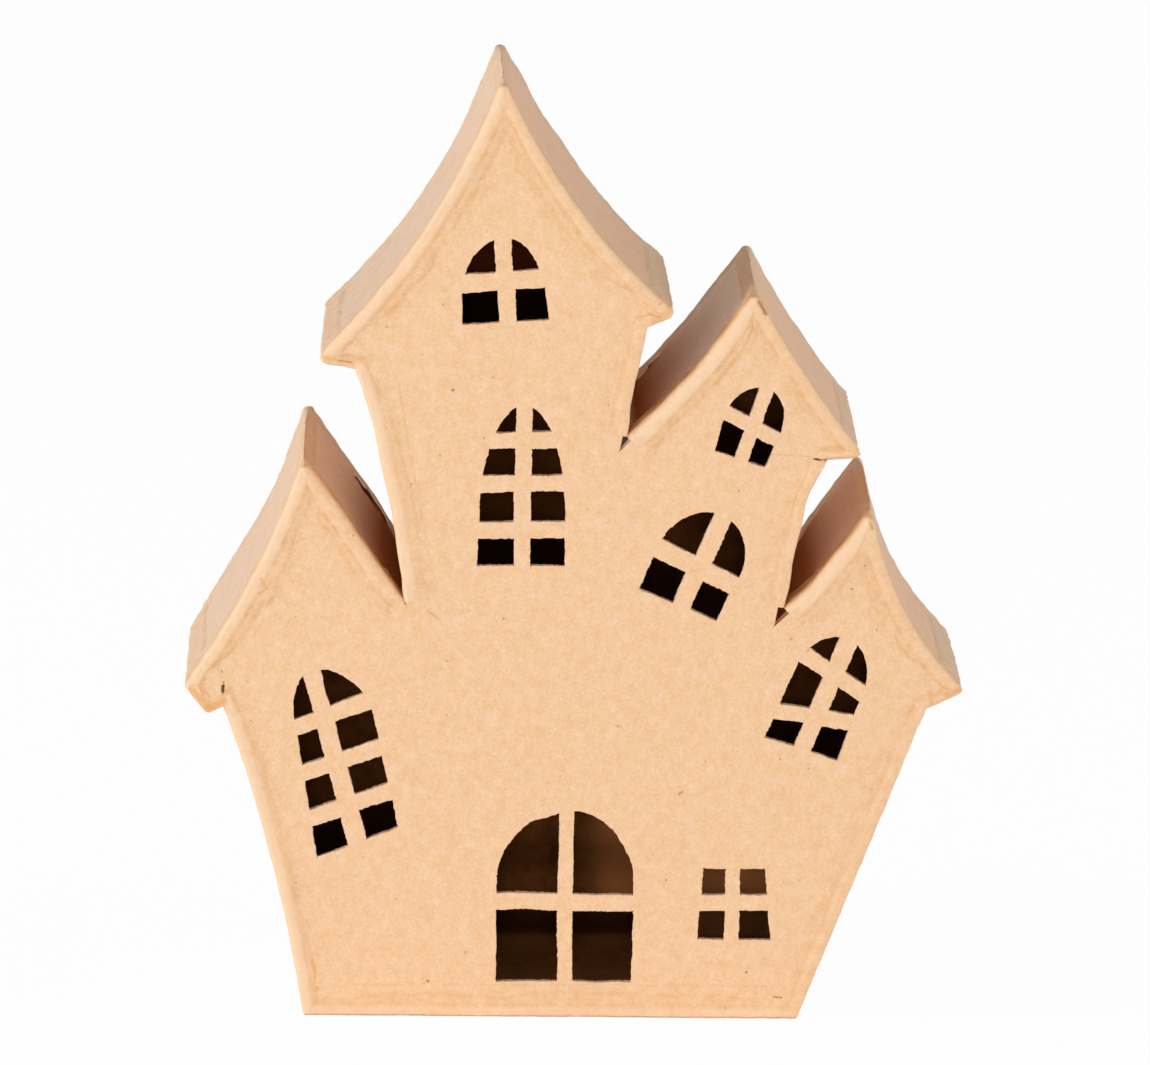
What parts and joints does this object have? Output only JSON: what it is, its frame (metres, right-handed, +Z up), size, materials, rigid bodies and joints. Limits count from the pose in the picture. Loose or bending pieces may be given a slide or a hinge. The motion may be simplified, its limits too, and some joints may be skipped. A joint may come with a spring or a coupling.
{
  "type": "cardboard castle",
  "caption": "Hollow crooked house of kraft card with a tower and gables, papered at every edge, with cut-out windows and door in the front and a flat base to stand on.",
  "frame": {"origin": "middle of the overall width and depth, on the plane that the base rests on", "axes": "+Z up, +X to the right and +Y away from a viewer who faces the windows"},
  "size_m": [0.2362, 0.0708, 0.2911],
  "materials": {
    "card": "matte kraft board",
    "paper": "matte kraft paper, glued and slightly wrinkled"
  },
  "bodies": {
    "root": {"back_panel": "card", "back_strip_base": "paper", "back_strip_left_gable_inner": "paper", "back_strip_left_gable_outer": "paper", "back_strip_left_wall": "paper", "back_strip_lower_gable_inner": "paper", "back_strip_lower_gable_outer": "paper", "back_strip_right_wall": "paper", "back_strip_tower_left_roof": "paper", "back_strip_tower_left_wall": "paper", "back_strip_tower_right_roof": "paper", "back_strip_tower_right_wall": "paper", "back_strip_upper_gable_inner": "paper", "back_strip_upper_gable_outer": "paper", "back_strip_upper_gable_wall": "paper", "base_panel": "card", "eave_strip_left_gable": "paper", "eave_strip_lower_gable": "paper", "eave_strip_tower_left": "paper", "eave_strip_tower_right": "paper", "eave_strip_upper_gable": "paper", "front_panel": "card", "front_strip_base": "paper", "front_strip_left_gable_inner": "paper", "front_strip_left_gable_outer": "paper", "front_strip_left_wall": "paper", "front_strip_lower_gable_inner": "paper", "front_strip_lower_gable_outer": "paper", "front_strip_right_wall": "paper", "front_strip_tower_left_roof": "paper", "front_strip_tower_left_wall": "paper", "front_strip_tower_right_roof": "paper", "front_strip_tower_right_wall": "paper", "front_strip_upper_gable_inner": "paper", "front_strip_upper_gable_outer": "paper", "front_strip_upper_gable_wall": "paper", "left_eave_panel": "card", "left_gable_inner_slope_panel": "card", "left_gable_outer_slope_panel": "card", "left_wall_panel": "card", "lower_gable_eave_panel": "card", "lower_gable_inner_slope_panel": "card", "lower_gable_outer_slope_panel": "card", "ridge_strip_left_gable": "paper", "ridge_strip_lower_gable": "paper", "ridge_strip_tower": "paper", "ridge_strip_upper_gable": "paper", "right_wall_panel": "card", "tower_left_eave_panel": "card", "tower_left_slope_panel": "card", "tower_left_wall_panel": "card", "tower_right_eave_panel": "card", "tower_right_slope_panel": "card", "tower_right_wall_panel": "card", "upper_gable_eave_panel": "card", "upper_gable_inner_slope_panel": "card", "upper_gable_outer_slope_panel": "card", "upper_gable_wall_panel": "card"}
  },
  "joints": []
}
